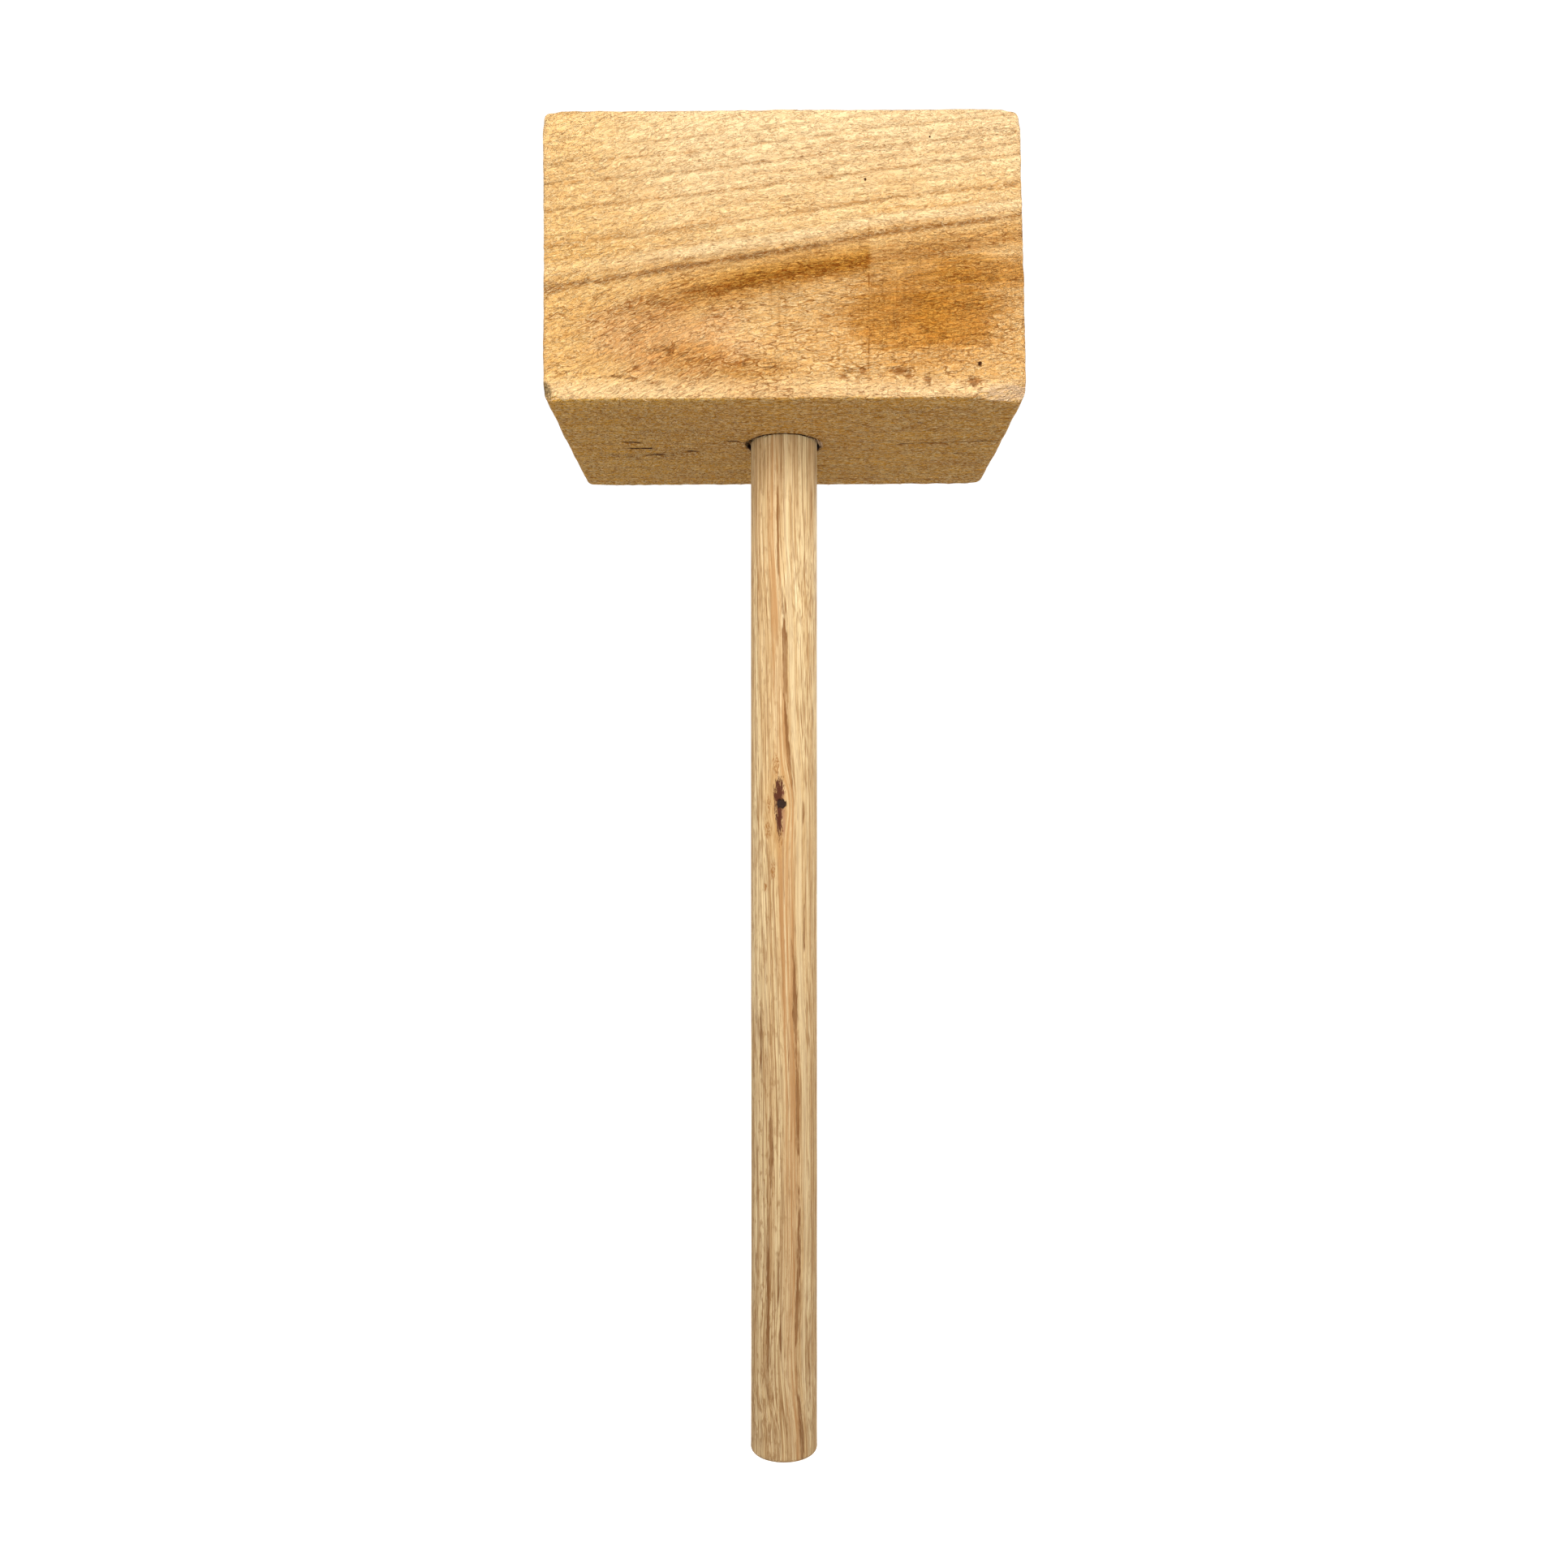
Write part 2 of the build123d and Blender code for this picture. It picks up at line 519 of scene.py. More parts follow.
def sliver(start, direction, outward, length, width, curl, sway):
    """One lifted fibre: a thin strip that tapers and curls away from the surface."""
    steps = 6
    across = np.cross(outward, direction)
    rings = []
    for i in range(steps + 1):
        share = i / steps
        lift = curl * share**1.7 - 0.12
        middle = start + direction * length * share * (1 - 0.25 * share * abs(curl) / length)
        middle = middle + outward * lift + across * sway * math.sin(2.6 * share)
        half = width / 2 * (1 - 0.8 * share**2)
        thick = width * 0.28
        rings += [middle - across * half, middle + outward * thick, middle + across * half]
    faces = [(0, 2, 1), (3 * steps, 3 * steps + 1, 3 * steps + 2)]
    for i in range(steps):
        for a, b in ((0, 1), (1, 2), (2, 0)):
            faces.append((3 * i + a, 3 * i + b, 3 * i + 3 + b, 3 * i + 3 + a))
    return rings, faces


def make_slivers(name, slivers):
    """One piece from many slivers."""
    points, faces = [], []
    for one_points, one_faces in slivers:
        faces += [tuple(len(points) + corner for corner in face) for face in one_faces]
        points += one_points
    return make_piece(name, points, faces)


def make_face_fibres(head):
    """Fibres that the saw left standing, scattered over the head's four long sides."""
    random = np.random.default_rng(71)
    mesh = head.data
    slivers = []
    sides = [poly for poly in mesh.polygons if abs(poly.normal.x) < 0.5 and poly.area > 0.5 * MM**2]
    for poly in (sides[i] for i in random.choice(len(sides), 1300, replace=False)):
        start = np.array(poly.center) / MM
        outward = np.array(poly.normal)
        from_bore = math.hypot(start[0], start[1])
        from_end = HEAD_HALF[0] - abs(start[0])
        if from_bore < HANDLE_RADIUS + 6 or from_end < 6:
            continue
        angle = GRAIN_SLOPE + random.normal(0, 0.3) + (math.pi if random.random() < 0.5 else 0)
        sideways = np.cross(outward, (1, 0, 0))
        direction = np.array((1, 0, 0)) * math.cos(angle) + sideways * math.sin(angle)
        direction -= outward * (direction @ outward)
        direction /= np.linalg.norm(direction)
        length = random.gamma(3, 0.6) + 0.8
        width = random.uniform(0.2, 0.5)
        curl = random.uniform(0.08, 0.3) * min(length, 4)
        slivers.append(sliver(start, direction, outward, length, width, curl, random.normal(0, 0.3)))
    return head_fields(make_slivers("head_fibres", slivers))


def make_socket_splinters():
    """The torn wood round the hole under the head, most of it at the left and the right."""
    random = np.random.default_rng(72)
    down = np.array((0, 0, -1))
    slivers = []
    at_left, at_right = random.normal(196, 9, 9), random.normal(338, 12, 16)
    bearings = np.radians(np.concatenate((at_left, at_right, random.uniform(180, 360, 12))))
    for bearing in bearings:
        radial = np.array((math.cos(bearing), math.sin(bearing), 0))
        around = np.array((-radial[1], radial[0], 0))
        start = radial * (HANDLE_RADIUS + random.uniform(0.5, 1.8)) + (0, 0, UNDERSIDE)
        slant = random.normal(0, 0.7)
        turned = around * math.cos(slant) * random.choice((-1, 1)) + radial * abs(math.sin(slant))
        direction = turned / np.linalg.norm(turned)
        length = random.uniform(1.8, 5)
        curl = random.uniform(0.4, 2)
        width = random.uniform(0.5, 1.1)
        sway = random.normal(0, 0.4)
        slivers.append(sliver(start, direction, down, length, width, curl, sway))
    return head_fields(make_slivers("socket_splinters", slivers), pale=2)


# ---------- Handle ----------

KNOT = np.array((-1.3, -15.4, 300))
KNOT_RADIUS = 3.4
KNOT_STRETCH = 3.2  # how much longer the knot is along the handle than across it
KNOT_DENTS = [
    # the pit, two creases and two scrapes: from the knot's middle, radii, depth
    ((0.3, 0, -0.5), (1.7, 6, 4.2), 0.8),
    ((-1.2, 0, -8), (0.9, 6, 6), 0.35),
    ((-1, 0, 8), (0.8, 6, 5), 0.3),
    ((-6.3, 1, -13), (1.6, 6, 3), 0.25),
    ((-3.8, 0, -30), (1, 6, 4), 0.2),
]
BUTT_ROUND = 2
HEART_LINE = [
    # the dark streak's line down the front: height, x
    (0, 8.2),
    (20, 7.6),
    (40, 4.8),
    (75, 6),
    (115, 6.8),
    (165, 6.4),
    (200, 5),
    (240, 3.6),
    (300, 2.6),
    (345, 0.8),
    (380, 0.2),
    (430, -2.4),
    (470, -3),
]


def grain_place(points):
    """Where each point of the handle lies in straight wood: the grain wanders, and flows round the knot."""
    x, y, z = points.T
    heights, offsets = zip(*HEART_LINE)
    near_side = smooth(4, -10, y)
    line = sum(np.interp(z + shift, heights, offsets) for shift in (-12, -4, 4, 12)) / 4
    wander_x = 0.6 * lumps(points, (14, 14, 46), seed=62) - line * (0.35 + 0.65 * near_side)
    wander_y = 1.6 * lumps(points, (60, 60, 150), seed=63) + 0.5 * lumps(points, (14, 14, 46), seed=64)
    from_knot_x = x - KNOT[0]
    from_knot_z = (z - KNOT[2]) / KNOT_STRETCH
    apart = from_knot_x**2 + from_knot_z**2
    squeeze = near_side * KNOT_RADIUS**2 / (apart + 2)
    return np.stack((KNOT[0] + from_knot_x * (1 - squeeze.clip(0, 0.9)) + wander_x, y + wander_y, z), axis=1)


def handle_radii(height, turn):
    """The radii of the handle's outline: the rounded butt, the long grip, and the spread tenon."""
    butt = BUTT_ROUND
    base = HANDLE_RADIUS - 0.05
    if height < butt:
        base = HANDLE_RADIUS - butt + math.sqrt(max(butt**2 - (butt - height) ** 2, 0))
    if height > UNDERSIDE + 3.5:
        base = HANDLE_RADIUS - 0.5
    return base + flare(height) + 0 * turn, base + 0 * turn


def handle_relief(points):
    """How far the planed surface stands proud, in mm."""
    grain = grain_place(points)
    flats = 0.1 * lumps(points, (11, 11, 130), seed=65)
    grooves = 0.05 * rough(grain, (1.6, 1.6, 38), seed=66)
    fuzz = 0.02 * lumps(grain, (0.9, 0.9, 5), seed=67)
    relief = flats + grooves + fuzz + 0.25 * in_blob(points, KNOT, (6, 9, 16))
    for offset, radii, depth in KNOT_DENTS:
        relief -= depth * in_blob(points, KNOT + offset, radii)
    return relief


def make_handle():
    caps = np.linspace(0.05, 1, 9)
    rounding = BUTT_ROUND * (1 - np.cos(np.linspace(0, np.pi / 2, 7)))[1:]
    side = np.arange(BUTT_ROUND + 1.2, UNDERSIDE + 3, 1.7)
    inside = np.concatenate(([UNDERSIDE + 3.4, UNDERSIDE + 4], np.linspace(UNDERSIDE + 8, TOP - 1, 22)))
    heights = np.concatenate((0 * caps, rounding, side, inside, [TOP - 0.3], TOP + 0 * caps))
    shrink = np.concatenate((caps, np.ones(len(heights) - 2 * len(caps)), caps[::-1]))

    def radius_at(step, height, turn):
        radius_x, radius_y = handle_radii(height, turn)
        return radius_x * shrink[step], radius_y * shrink[step]

    points, faces = turned_surface(heights, 124, radius_at)
    side_share = smooth(0, 1.5, points[:, 2]) * (1 - smooth(UNDERSIDE + 2, UNDERSIDE + 4, points[:, 2]))
    outward = points * (1, 1, 0)
    outward /= np.maximum(np.linalg.norm(outward, axis=1), 1e-6)[:, None]
    relief = handle_relief(points) * side_share
    sawn_end = 0.12 * rough(points, (5, 1.6, 50), seed=68) * (1 - side_share)
    in_cap = np.linalg.norm(points[:, :2], axis=1) < HANDLE_RADIUS - BUTT_ROUND
    end_lift = np.where((points[:, 2] < 1) & in_cap, np.maximum(-sawn_end, 0) + 0.02, 0)
    end_lift = np.where(points[:, 2] > TOP - 0.1, 0.25 + sawn_end, end_lift)
    points = points + outward * relief[:, None] + np.outer(end_lift, (0, 0, 1))
    handle = make_piece("mallet_handle", points, faces)
    cut(handle, kerf_cutter())
    write_field(handle, "grain", grain_place(piece_points(handle)))
    return handle


def kerf_cutter():
    """The saw cut in the tenon, opened by the wedge."""
    half_top = WEDGE_HIGH[0] + 0.15
    half_low = 0.8
    tip = WEDGE_LOW[2]
    right = [(half_low, tip - 17), (half_low, tip), (half_top, TOP), (half_top, TOP + 5)]
    outline = [(-half_low, tip - 17), *right] + [(-x, z) for x, z in reversed(right[1:])]
    count = len(outline)
    points = [(x, y, z) for y in (-30, 30) for x, z in outline]
    faces = [tuple(range(count)), tuple(range(2 * count - 1, count - 1, -1))]
    faces += [(i, i + count, (i + 1) % count + count, (i + 1) % count) for i in range(count)]
    return make_piece("kerf", points, faces)


# ---------- Wedge ----------


def make_wedge():
    """Split hardwood, bruised and sawn off at the top."""
    half_top, half_width = WEDGE_HIGH[0], WEDGE_HIGH[1]
    share = spaced(0, 1, 0.04, edge=0.05, fine=0.01)
    xs = np.linspace(-1, 1, 9)
    ys = spaced(-half_width, half_width, 0.8, edge=1.6, fine=0.4)
    points, quads = block_surface(xs, ys, share)
    height = WEDGE_LOW[2] + points[:, 2] * (WEDGE_HIGH[2] - WEDGE_LOW[2])
    half = 0.7 + (half_top - 0.7) * points[:, 2]
    rounded = 1 - 0.25 * smooth(half_width - 1.2, half_width, np.abs(points[:, 1]))
    points = np.stack((points[:, 0] * half * rounded, points[:, 1], height), axis=1)
    worn = 0.1 * rough(points, (2, 2, 16), seed=81)
    on_top = smooth(TOP - 0.4, TOP, points[:, 2])
    points[:, 0] += worn * np.sign(points[:, 0]) * (1 - on_top)
    points[:, 2] += on_top * (0.35 + 0.22 * rough(points, 1.7, seed=82))
    return make_piece("mallet_wedge", points, quads)


# ---------- Materials ----------


def linear(red, green, blue):
    """A colour given as it looks on a screen, 0 to 255, as the shader wants it."""
    levels = []
    for level in (red, green, blue):
        share = level / 255
        levels.append(((share + 0.055) / 1.055) ** 2.4 if level > 10 else share / 12.92)
    return (*levels, 1)


def operator(name, swapped=False):
    """A method that lets one of Python's operators on a value add a math node."""

    def apply(self, other=0):
        a, b = (other, self) if swapped else (self, other)
        return self.paint.math(name, a, b)

    return apply


class Value:
    """What one of a material's nodes gives out: a number, a place or a colour."""

    __add__ = operator("ADD")
    __sub__ = operator("SUBTRACT")
    __rsub__ = operator("SUBTRACT", swapped=True)
    __mul__ = operator("MULTIPLY")
    __truediv__ = operator("DIVIDE")
    __abs__ = operator("ABSOLUTE")

    def __init__(self, paint, socket):
        self.paint = paint
        self.socket = socket

    def vector(self, operation, other=(0, 0, 0), output=0):
        """Vector arithmetic on a place, with another value or with three numbers."""
        other = other if isinstance(other, Value) else tuple(other)
        return self.paint.node("VectorMath", {0: self, 1: other}, output, operation=operation)

    def axes(self):
        """The x, y and z of a place."""
        outputs = self.paint.node("SeparateXYZ", {0: self}).socket.node.outputs
        return [Value(self.paint, output) for output in outputs]

    def noise(self, size, detail=3, roughness=0.55, distortion=0):
        """Noise from 0 to 1 at a place, with lumps of the given sizes in mm."""
        inputs = {"Vector": self.vector("DIVIDE", size), "Scale": 1, "Detail": detail}
        inputs |= {"Roughness": roughness, "Distortion": distortion}
        return self.paint.node("TexNoise", inputs)

    def cracks(self, size, bend=0.7):
        """How far a place is from the nearest crack: 0 on it, up to about 0.5 between cracks."""
        vector = self.vector("DIVIDE", size)
        swirl = self.paint.node("TexNoise", {"Vector": vector, "Scale": 1.6, "Detail": 2}, "Color")
        vector = vector.vector("ADD", swirl.vector("MULTIPLY", (bend, bend, bend)))
        return self.paint.node("TexVoronoi", {"Vector": vector, "Scale": 1}, feature="DISTANCE_TO_EDGE")

    def blob(self, centre, radii, ragged, raggedness=0.5):
        """1 for a place inside a blob, 0 outside, with an edge that the noise in ragged makes uneven."""
        distance = self.vector("SUBTRACT", centre).vector("DIVIDE", radii).vector("LENGTH", output="Value")
        return (ragged * (2 * raggedness) + (distance - raggedness)).ramp(1, 0.45)

    def ramp(self, low, high, to_low=0, to_high=1):
        """Rises smoothly as the value goes from low to high. low may be the larger."""
        inputs = {"Value": self, "From Min": low, "From Max": high, "To Min": to_low, "To Max": to_high}
        return self.paint.node("MapRange", inputs, interpolation_type="SMOOTHSTEP")

    def steps(self, stops):
        """A grey value read off a list of (position, value) stops."""
        value = self.paint.node("ValToRGB", {0: self})
        elements = value.socket.node.color_ramp.elements
        for element, (position, grey) in zip(elements, (stops[0], stops[-1])):
            element.position = position
            element.color = (grey, grey, grey, 1)
        for position, grey in stops[1:-1]:
            elements.new(position).color = (grey, grey, grey, 1)
        return value


class Paint:
    """One material, whose colour is built up layer by layer."""

    def __init__(self, name):
        self.material = bpy.data.materials.new(name)
        self.material.use_nodes = True
        self.tree = self.material.node_tree
        self.shader = self.tree.nodes["Principled BSDF"]
        self.colour = None

    def give(self, socket, value):
        """Links a value to a node's input, or sets a number or a colour on it."""
        if isinstance(value, Value):
            self.tree.links.new(value.socket, socket)
        else:
            socket.default_value = value

    def node(self, kind, inputs, output=0, **settings):
        node = self.tree.nodes.new("ShaderNode" + kind)
        for key, value in settings.items():
            setattr(node, key, value)
        for key, value in inputs.items():
            self.give(node.inputs[key], value)
        return Value(self, node.outputs[output])

    def place(self):
        """The point being shaded, in millimetres."""
        metres = self.node("TexCoord", {}, "Object")
        return self.node("VectorMath", {0: metres, "Scale": 1 / MM}, operation="SCALE")

    def side(self):
        """The surface's own direction, as separate x, y and z."""
        return self.node("NewGeometry", {}, "True Normal").axes()

    def field(self, name, output="Fac"):
        return self.node("Attribute", {}, output, attribute_name=name)

    def math(self, operation, a, b=0):
        return self.node("Math", {0: a, 1: b}, operation=operation)

    def mix(self, share, a, b, blend="MIX"):
        return self.node("Mix", {0: share, 6: a, 7: b}, 2, data_type="RGBA", blend_type=blend)

    def lay(self, share, colour, blend="MIX"):
        """Lays a share of a colour over the colour so far."""
        self.colour = self.mix(share, self.colour, colour, blend)

    def tint(self, share, red, green, blue, blend="MIX"):
        """The same, with a colour as it looks on a screen."""
        self.lay(share, linear(red, green, blue), blend)

    def finish(self, roughness, height, depth_mm, shine):
        """Sets the shader's colour, roughness and relief."""
        relief = self.node("Bump", {"Height": height, "Distance": depth_mm * MM, "Strength": 1})
        inputs = {"Base Color": self.colour, "Roughness": roughness, "Normal": relief}
        inputs["Specular IOR Level"] = shine
        for key, value in inputs.items():
            self.give(self.shader.inputs[key], value)
        return self.material


def late_wood(ring, ragged):
    """Dark where a ring's late wood crosses the front."""
    low, high = 80, 130
    stops = [(0, 0)]
    for radius, darkness, width in LATE_RINGS:
        share = (radius - low) / (high - low)
        half = width / (high - low)
        stops += [(share - 1.2 * half, 0), (share, darkness), (share + 0.7 * half, 0.3 * darkness)]
    stops += [(stops[-1][0] + 0.012, 0), (1, 0)]
    late = ((ring - low) / (high - low)).steps(stops)
    return late * ragged.ramp(0.4, 0.58, 0.35, 0.95)


def torn_layers(paint, place, size, layers):
    """Fibres torn off in layers: how high each place stands, and the painted shadow lines under their edges.
    """
    depth = place.noise(size, roughness=0.6, distortion=0.8) * layers
    part = paint.math("FRACT", depth)
    height = paint.math("FLOOR", depth) + part.ramp(0.75, 1)
    # Painted shadow: a dark line just below each layer's edge
    edge = part.ramp(0.5, 0.8) * part.ramp(1, 0.92)
    return height / layers, edge


def head_material():
    """Rough-sawn timber, pale outside and orange-brown towards the heart."""
    paint = Paint("head_wood")
    place = paint.place()
    x, y, z = place.axes()
    side_x, side_y, side_z = paint.side()
    on_end = abs(side_x).ramp(0.6, 0.85)
    on_front = side_y.ramp(-0.5, -0.85)
    on_underside = side_z.ramp(-0.5, -0.85)

    # Noise that the rest shares, stretched along the grain
    level = x * -GRAIN_SLOPE + z + x.ramp(*LEFT_GRAIN, 0, -LEFT_GRAIN_RISE)
    level = level + x.ramp(*LEFT_GRAIN, 0, -TORN_GRAIN_RISE) * z.ramp(*TORN_GRAIN)
    grain = paint.node("CombineXYZ", {0: x, 1: y, 2: level})
    tears = grain.noise((3.3, 1.15, 1.15), roughness=0.6, distortion=0.9)
    rips = grain.noise((7, 1.9, 1.9), detail=4, roughness=0.65, distortion=1.3)
    threads = grain.noise((2, 0.7, 0.7), roughness=0.6, distortion=0.5)
    patches = grain.noise((26, 9, 9))
    streaks = grain.noise((34, 2.6, 2.6), detail=5, roughness=0.65)
    ragged = grain.noise((4.2, 1.3, 1.3), detail=4, roughness=0.7, distortion=0.5)
    layers, layer_shadow = torn_layers(paint, grain, (7.5, 2.6, 2.6), 6)
    edges = grain.noise((4.6, 1.8, 1.8), detail=2, distortion=1.1)

    ring = (ragged - 0.5) * 1.5 + paint.field("ring")

    # Ground colour: yellow-tan, with darker streaks, and paler in the outer rings
    paint.colour = paint.mix(patches.ramp(0.35, 0.68), linear(229, 183, 120), linear(241, 201, 143))
    paint.tint(streaks.ramp(0.45, 0.72, 0, 0.6), 206, 150, 80)
    outside = ring.ramp(94, 116, 0, 0.6)
    paint.tint(outside, 248, 216, 168)
    paint.tint(ring.ramp(91, 84.5, 0, 0.85), 214, 160, 92)
    paint.tint(abs(ring - (TORN_RING + 2.4)).ramp(1.8, 0.6) * 0.4, 252, 222, 174)
    paint.tint(x.ramp(-30, -96, 0, 0.6), 226, 174, 98)

    # The rings of the inner wood, which have no places of their own
    phase_inputs = {"W": ring / 2.6, "Scale": 1, "Detail": 2}
    phase = paint.node("TexNoise", phase_inputs, noise_dimensions="1D")
    inner_share = ring.ramp(88, 78, 0.15, 0.65)
    inner = phase.ramp(0.5, 0.68) * inner_share
    paint.tint(inner, 190, 132, 66)

    paint.tint(late_wood(ring, rips), 152, 100, 40)
    torn = abs(ring - TORN_RING).ramp(0.6, 0.2, 0, 0.62) * tears.ramp(0.62, 0.45, 0.2, 1)
    paint.tint(torn, 120, 70, 24)

    # The dark streak: strongest left of the saw's step, with an orange margin
    outside_streak = ring - DARK_RING
    strong = x.ramp(-84, -10, 0.15, 1) * x.ramp(SAW_STEP_X + 2, SAW_STEP_X - 1, 0.55, 1)
    strong = strong * z.ramp(UNDERSIDE + 4, UNDERSIDE + 18, 0.25, 1)
    margin = outside_streak.ramp(6, 0) * outside_streak.ramp(-2.6, 0)
    margin = margin * 0.85 * strong
    core = abs(outside_streak).ramp(1.3, 0.4) * strong * tears.ramp(0.42, 0.54, 1, 0.35)
    paint.tint(core, 140, 80, 12)

    # Where the orange stains leave the front clean, and a pinkish patch at the left
    clean = 1 - margin
    for across, above_underside, half_length, half_height, strength in STAINS:
        radii = (half_length, 22, half_height)
        stain = place.blob(front_place(across, above_underside), radii, streaks, 0.65)
        clean = clean * (stain * -strength + 1)
    pink = place.blob(front_place(-48, 24), (46, 30, 17), patches, 0.8)
    paint.tint(pink * 0.45, 216, 160, 110)

    # The paler band where the front meets the underside
    band = z.ramp(UNDERSIDE + 10, UNDERSIDE + 3, 0, 0.65) * on_front
    paint.tint(band, 246, 206, 152)

    # The underside is painted darker and browner all over, painted shade for the lesser light under the
    # head; the end grain is darker, and the underside has long dark lines
    underside_lines = place.noise((90, 1.7, 1.7), roughness=0.7)
    underside_lines = underside_lines.ramp(0.52, 0.64, 0, 0.55) * on_underside
    paint.tint(underside_lines, 170, 122, 66)
    # Painted shade: the whole underside multiplied darker and browner
    paint.tint(on_underside, 255, 238, 152, "MULTIPLY")
    end_colour = paint.mix(patches, linear(218, 170, 112), linear(228, 186, 132))
    end_colour = paint.mix(ring.ramp(90, 100), end_colour, linear(236, 202, 152))
    end_colour = paint.mix(phase.ramp(0.48, 0.64, 0, 0.55), end_colour, linear(166, 112, 60))
    paint.lay(on_end * 0.8, end_colour)
    pores = place.noise((3, 0.5, 0.5), detail=2, roughness=0.7)
    pores = pores.ramp(0.42, 0.3) * on_end
    paint.tint(pores * 0.55, 104, 70, 38)

    # Torn fibres: dark cracks in rough patches, painted shade in the crevices; paler threads, a painted
    # highlight on the raised fibres; and edges with a painted highlight on one side and painted shade on the
    # other, stronger on the underside
    marks = paint.field("marks")
    roughest = patches.ramp(0.62, 0.4, 0.45, 1) * ring.ramp(92, 112, 1, 0.75) + on_underside * 0.3
    tears = tears - marks * 0.22
    # Painted shade: darker in the cracks of the rough patches, more so on the underside
    paint.tint(tears.ramp(0.44, 0.35, 0, 0.4) * roughest, 170, 110, 42)
    paint.tint(rips.ramp(0.42, 0.32, 0, 0.5) * roughest, 138, 80, 20)
    # Painted shadow under the torn layers' edges
    paint.tint(layer_shadow * 0.25, 148, 88, 24)
    # Painted highlight on the raised threads, stronger on the underside
    thread_highlight = paint.mix(on_underside * 0.25 + 0.2, paint.colour, (1, 0.8, 0.42, 1))
    paint.lay(threads.ramp(0.52, 0.68), thread_highlight)
    # Painted shade on one side of each fibre edge, painted highlight on the other
    shaded_side = abs(edges - 0.555).ramp(0.03, 0.008) * (on_underside * 0.3 + 0.25)
    paint.tint(shaded_side, 146, 86, 22)
    highlit_side = abs(edges - 0.49).ramp(0.04, 0.01)
    highlight_colour = paint.mix(on_underside * 0.3 + 0.25, paint.colour, (1, 0.82, 0.48, 1))
    paint.lay(highlit_side, highlight_colour)

    # Sharp cracks between the torn fibres, darkened as painted shade, each with a painted highlight along
    # the edge above it
    to_crack = grain.cracks((7.5, 2, 2))
    torn_here = ragged + patches.ramp(0.35, 0.65, -0.03, 0.08) - marks * 0.12 - on_underside * 0.05
    torn_here = (torn_here + ring.ramp(88, 98, 0, 0.07)).ramp(0.54, 0.44)
    sharp = to_crack.ramp(0.075, 0.02) * torn_here * ring.ramp(88, 98, 0.65, 0.5)
    # Painted highlight along the edge above each crack; the crack itself is painted shade
    crack_highlight = abs(to_crack - 0.14).ramp(0.06, 0.01, 0, 0.35)
    paint.lay(crack_highlight * torn_here, (1, 0.8, 0.46, 1))
    paint.tint(sharp, 138, 74, 14)
    # Painted shade and painted highlight on the underside: dark and pale threads that stand in for the
    # relief's shading
    weave = place.cracks((2.8, 1.2, 1.2), bend=1)
    thread = weave.ramp(0.14, 0.04, 0, 0.25) * on_underside
    paint.tint(thread, 130, 86, 24)
    thread = weave.ramp(0.24, 0.4, 0, 0.5) * on_underside
    paint.tint(thread, 250, 214, 136)

    # Single tears, specks and pinholes
    marked = (rips * -3 + marks).ramp(-0.75, -0.2, 0, 0.75)
    paint.tint(marked, 116, 66, 20)
    # Painted shade: near black where the marks pass 1, in the gap round the handle at the socket's rim and
    # in the deepest underside tears
    paint.tint(marks.ramp(1, 1.3), 40, 20, 10)
    for across, above_underside, width in BROWN_SPOTS:
        centre = front_place(across, above_underside)
        spot = place.blob(centre, (1.2 * width, 4, 0.5 * width + 0.8), threads, 1.1)
        paint.tint(spot * 0.7, 146, 88, 34)
    for across, above_underside, radius in PINHOLES:
        centre = front_place(across, above_underside)
        hole = place.blob(centre, (0.8 * radius, 4, radius), threads, 0.5)
        paint.tint(hole, 56, 26, 12)
    spots = place.noise((1.6, 1.1, 1.1), detail=1)
    spots = spots.ramp(0.78, 0.84, 0, 0.8)
    paint.tint(spots, 110, 66, 30)

    # Saw lines across the grain, low on the front, and the step where the saw stopped
    lines = place.noise((1.2, 14, 14), detail=2, roughness=0.6)
    sawn = place.blob(front_place(42, 32), (90, 60, 50), patches, 0.5)
    line = lines.ramp(0.42, 0.34) * sawn
    paint.tint(line * 0.3, 164, 108, 46)
    off_step = abs(threads * 0.5 + (x - (SAW_STEP_X + 0.25)))
    step = off_step.ramp(0.5, 0.1) * on_front * z.ramp(TOP - 42, TOP - 56)
    step = step * z.ramp(UNDERSIDE + 3, UNDERSIDE + 10)
    step = step * patches.ramp(0.56, 0.42, 0.12, 0.8)
    paint.tint(step, 150, 92, 30)

    # The stains go over everything, with dark creases and pale shreds in them
    stained = 1 - clean
    paint.lay(stained, (0.72, 0.46, 0.03, 1), "MULTIPLY")
    paint.tint(abs(rips - 0.47).ramp(0.04, 0.008) * (stained * 0.9), 122, 64, 6)
    paint.tint(edges.ramp(0.58, 0.7) * stained * 0.35, 232, 176, 84)

    # Weathered wood: dark and grey on the chipped corner, pale and grey on the bevel
    grey = paint.mix(x.ramp(-1, 1), linear(84, 72, 44), linear(224, 188, 150))
    weathered = paint.field("weathered") * rips.ramp(0.32, 0.62, 0.5, 1.3)
    paint.lay(weathered.ramp(0.2, 0.9, 0, 0.75), grey)

    height = threads * 0.4 + tears + rips + layers * 1.6 + edges.ramp(0.56, 0.5) * 0.35
    height = height - line * 0.1 - sharp * 0.3 - marked * 0.4
    roughness = tears.ramp(0.2, 0.8, 0.92, 0.72)
    return paint.finish(roughness, height, depth_mm=1.1, shine=0.06)


